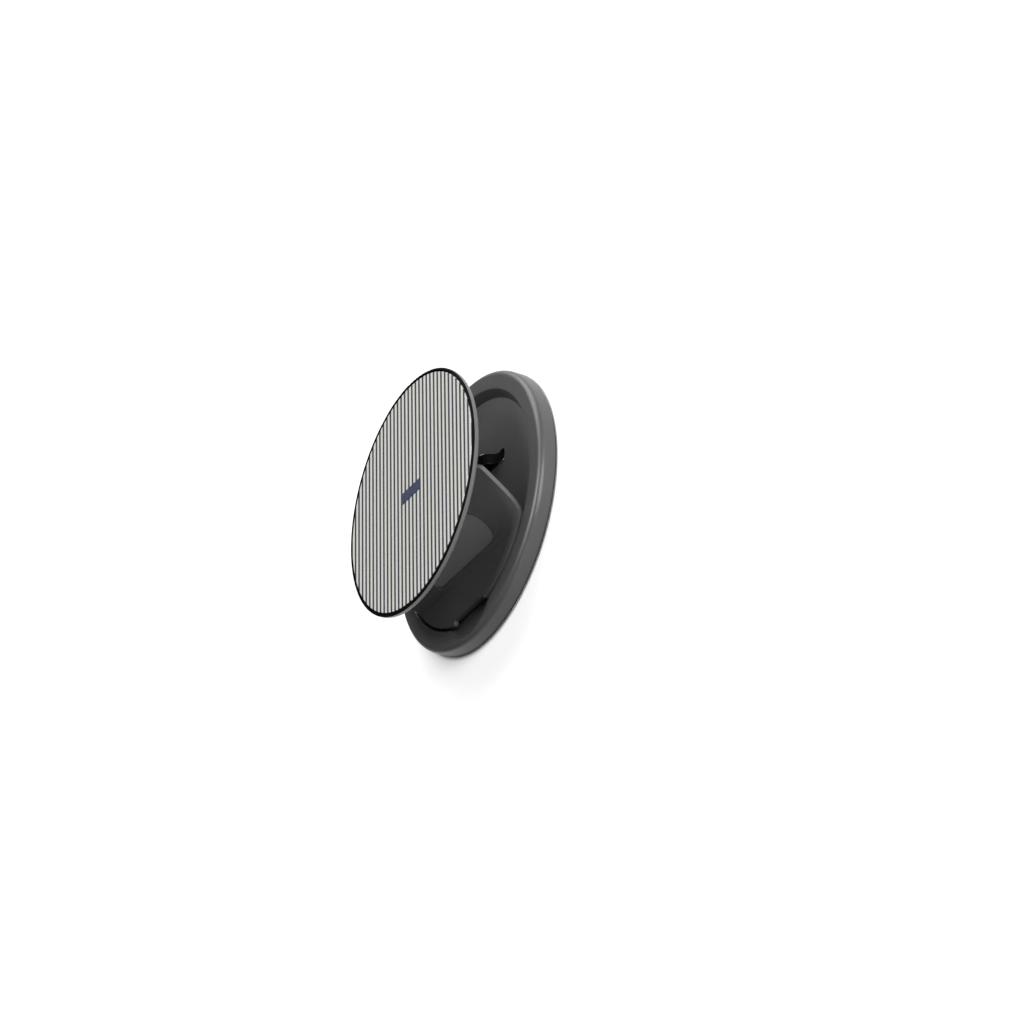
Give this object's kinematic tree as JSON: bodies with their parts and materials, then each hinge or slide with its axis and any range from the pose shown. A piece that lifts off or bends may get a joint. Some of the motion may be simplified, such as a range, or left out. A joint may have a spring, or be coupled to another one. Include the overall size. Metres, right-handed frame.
{
  "type": "magnetic phone grip",
  "caption": "Round magnetic grip with a hinged strap arm that folds into a shallow recess and a striped finger disc held parallel above the base.",
  "frame": {"origin": "centre of the round base's flat back face", "axes": "+Z out of the phone's back, +Y up the phone along the stripes, +X across"},
  "size_m": [0.058, 0.058, 0.0168],
  "materials": {
    "housing": "fine satin texture, dark grey",
    "floor": "smooth moulded, near black",
    "back_pad": "smooth soft pad, black",
    "magnet": "nickel plated, bright",
    "shield": "cold rolled, satin",
    "hinge_steel": "blackened spring steel",
    "pin_steel": "ground, bright",
    "screw_steel": "black zinc",
    "spring": "polished spring steel",
    "strap": "smooth moulded elastomer, near black",
    "insert": "even satin paint, dark grey",
    "tray": "fine blasted and anodised, dark grey",
    "rail": "low friction moulding, black",
    "glue": "thin transfer adhesive",
    "plate": "striped ivory and charcoal, satin",
    "label": "close woven tape, navy, bare"
  },
  "bodies": {
    "base": {"back_pad": "back_pad", "base_ring": "housing", "base_floor": "floor", "shield_ring": "shield", "catch_spring": "spring", "hinge_leaf": "hinge_steel", "leaf_screws": "screw_steel", "lower_pin": "pin_steel", "strap": "strap", "magnet_01": "magnet", "magnet_02": "magnet", "magnet_03": "magnet", "magnet_04": "magnet", "magnet_05": "magnet", "magnet_06": "magnet", "magnet_07": "magnet", "magnet_08": "magnet", "magnet_09": "magnet", "magnet_10": "magnet", "magnet_11": "magnet", "magnet_12": "magnet", "magnet_13": "magnet", "magnet_14": "magnet", "magnet_15": "magnet", "magnet_16": "magnet"},
    "arm": {"arm_plate": "hinge_steel", "arm_insert": "insert", "upper_pin": "pin_steel"},
    "carriage": {"carriage": "hinge_steel"},
    "disc": {"disc_tray": "tray", "stop_pin": "pin_steel", "rail_left": "rail", "rail_right": "rail", "rail_screws": "screw_steel", "glue_sheet": "glue", "striped_plate": "plate", "label_tab": "label"}
  },
  "joints": [
    {"name": "arm_fold", "type": "hinge", "parent": "base", "child": "arm", "pos_m": [0, -0.012, 0.003], "axis": [1, 0, 0], "range_deg": [-54, 0], "deforming": ["strap"]},
    {"name": "disc_level", "type": "hinge", "parent": "arm", "child": "carriage", "pos_m": [0, -0.00392, 0.01412], "axis": [1, 0, 0], "range_deg": [0, 54]},
    {"name": "disc_slide", "type": "slide", "parent": "carriage", "child": "disc", "axis": [0, 1, 0], "range_m": [-0.00637, 0]}
  ],
  "couplings": [
    {"joint": "disc_level", "follows": "arm_fold", "ratio": -1}
  ]
}
